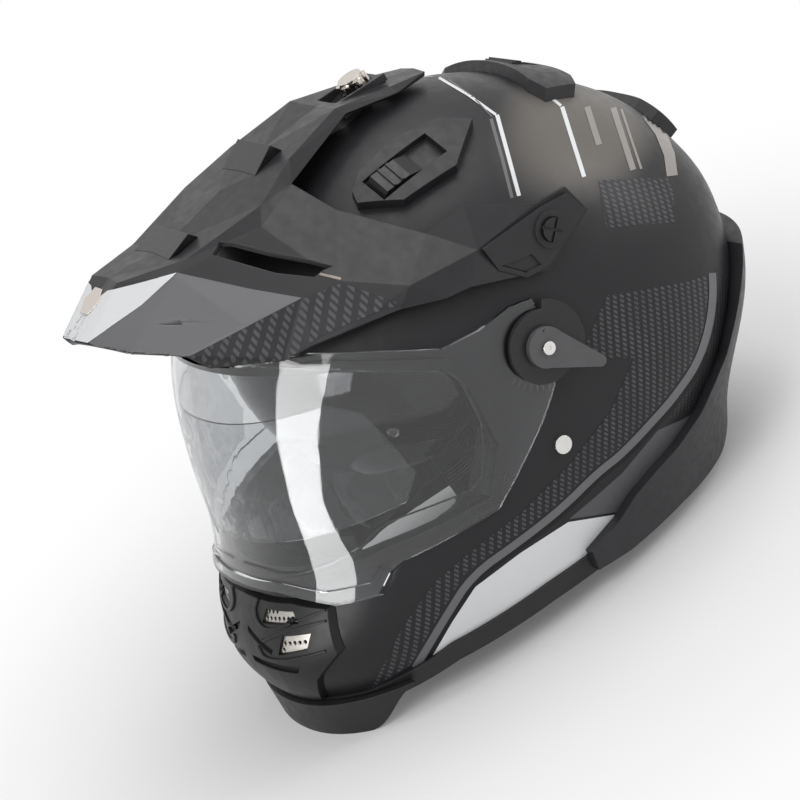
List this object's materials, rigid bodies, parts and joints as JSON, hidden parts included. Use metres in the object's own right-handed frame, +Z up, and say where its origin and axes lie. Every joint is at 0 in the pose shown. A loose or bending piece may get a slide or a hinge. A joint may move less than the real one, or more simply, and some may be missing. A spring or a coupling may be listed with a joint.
{
  "type": "dual sport helmet",
  "caption": "Full-face off-road and road helmet with a faceted adjustable peak, a hinged clear shield and a drop-down tinted visor.",
  "frame": {"origin": "on the table under the middle of the helmet's box, as it stands on its chin curtain and rear bumper", "axes": "+X to the wearer's left, -Y the way the wearer looks, +Z up"},
  "size_m": [0.2722, 0.3619, 0.2899],
  "materials": {
    "shell": "matte lacquer",
    "foam": "beaded foam",
    "lining": "knitted lining",
    "rubber": "matte",
    "bumper": "satin",
    "mesh": "satin",
    "trim": "satin",
    "clear": "polished",
    "clear_pin": "polished",
    "pod": "satin",
    "lever": "satin",
    "screw": "brushed",
    "tint": "polished",
    "peak": "matte lacquer",
    "insert": "satin",
    "knob": "satin",
    "webbing": "woven"
  },
  "bodies": {
    "helmet": {"outer_shell": "shell", "impact_liner": "foam", "chin_liner": "foam", "crown_pad": "lining", "cheek_pad_left": "lining", "cheek_pad_right": "lining", "neck_roll": "lining", "rim_trim": "rubber", "rear_bumper": "bumper", "chin_curtain": "rubber", "eyeport_gasket": "rubber", "chin_vent_cover": "shell", "chin_vent_mesh": "mesh", "breath_guard": "trim", "pivot_base_left": "trim", "pivot_base_right": "trim", "shield_pod_left": "pod", "shield_pod_right": "pod", "pivot_screws": "screw", "visor_pins": "trim", "visor_slider_track": "trim", "crown_vent_left": "trim", "crown_vent_right": "trim", "top_vent": "trim", "rear_exhaust": "shell", "peak_mounts": "trim", "knob_stud": "screw", "strap_left": "webbing", "strap_right": "webbing", "strap_rivets": "screw"},
    "shield": {"face_shield": "clear", "fog_insert": "clear", "fog_pins": "clear_pin"},
    "lever_left": {"release_lever_left": "lever"},
    "lever_right": {"release_lever_right": "lever"},
    "sun_shade": {"sun_visor": "tint"},
    "shade_slider": {"visor_slider": "trim"},
    "vent_button_left": {"crown_button_left": "pod"},
    "vent_button_right": {"crown_button_right": "pod"},
    "vent_button_top": {"top_button": "pod"},
    "peak": {"peak_shell": "peak", "peak_scoops": "pod", "peak_emblem": "knob", "peak_insert_left": "insert", "peak_insert_right": "insert"},
    "side_knob_left": {"side_screw_left": "pod"},
    "side_knob_right": {"side_screw_right": "pod"},
    "top_knob": {"peak_knob": "knob"},
    "rings": {"d_rings": "screw"}
  },
  "joints": [
    {"name": "shield_hinge", "type": "hinge", "parent": "helmet", "child": "shield", "pos_m": [0, 0.00826, 0.15], "axis": [-1, 0, 0], "range_deg": [0, 21]},
    {"name": "lever_left_hinge", "type": "hinge", "parent": "helmet", "child": "lever_left", "pos_m": [0.132, 0.00826, 0.15], "axis": [-1, 0, 0], "range_deg": [-25, 0], "stiffness_Nm_per_rad": 0.05},
    {"name": "lever_right_hinge", "type": "hinge", "parent": "helmet", "child": "lever_right", "pos_m": [-0.132, 0.00826, 0.15], "axis": [-1, 0, 0], "range_deg": [-25, 0], "stiffness_Nm_per_rad": 0.05},
    {"name": "sun_shade_hinge", "type": "hinge", "parent": "helmet", "child": "sun_shade", "pos_m": [0, -0.01174, 0.165], "axis": [-1, 0, 0], "range_deg": [0, 45]},
    {"name": "shade_slider_slide", "type": "slide", "parent": "helmet", "child": "shade_slider", "axis": [0, 1, 0], "range_m": [0, 0.018]},
    {"name": "vent_button_left_slide", "type": "slide", "parent": "helmet", "child": "vent_button_left", "axis": [-0.012, 0.9998, -0.016], "range_m": [0, 0.009]},
    {"name": "vent_button_right_slide", "type": "slide", "parent": "helmet", "child": "vent_button_right", "axis": [0.012, 0.9998, -0.016], "range_m": [0, 0.009]},
    {"name": "vent_button_top_slide", "type": "slide", "parent": "helmet", "child": "vent_button_top", "axis": [0, 0.7828, -0.6222], "range_m": [0, 0.006]},
    {"name": "peak_tilt", "type": "hinge", "parent": "helmet", "child": "peak", "pos_m": [0, 0.04676, 0.197], "axis": [-1, 0, 0], "range_deg": [0, 5.5]},
    {"name": "side_knob_left_turn", "type": "hinge", "parent": "helmet", "child": "side_knob_left", "pos_m": [0.124, 0.04676, 0.197], "axis": [1, 0, 0], "continuous": true},
    {"name": "side_knob_right_turn", "type": "hinge", "parent": "helmet", "child": "side_knob_right", "pos_m": [-0.124, 0.04676, 0.197], "axis": [-1, 0, 0], "continuous": true},
    {"name": "top_knob_turn", "type": "hinge", "parent": "helmet", "child": "top_knob", "pos_m": [0, 0.03934, 0.27987], "axis": [0, -0.0892, 0.996], "continuous": true},
    {"name": "ring_swing", "type": "hinge", "parent": "helmet", "child": "rings", "pos_m": [0.02201, -0.00574, 0.02975], "axis": [0, 1, 0], "range_deg": [-20, 20]}
  ],
  "couplings": [
    {"joint": "shade_slider_slide", "follows": "sun_shade_hinge", "m_per_rad": 0.022918}
  ]
}
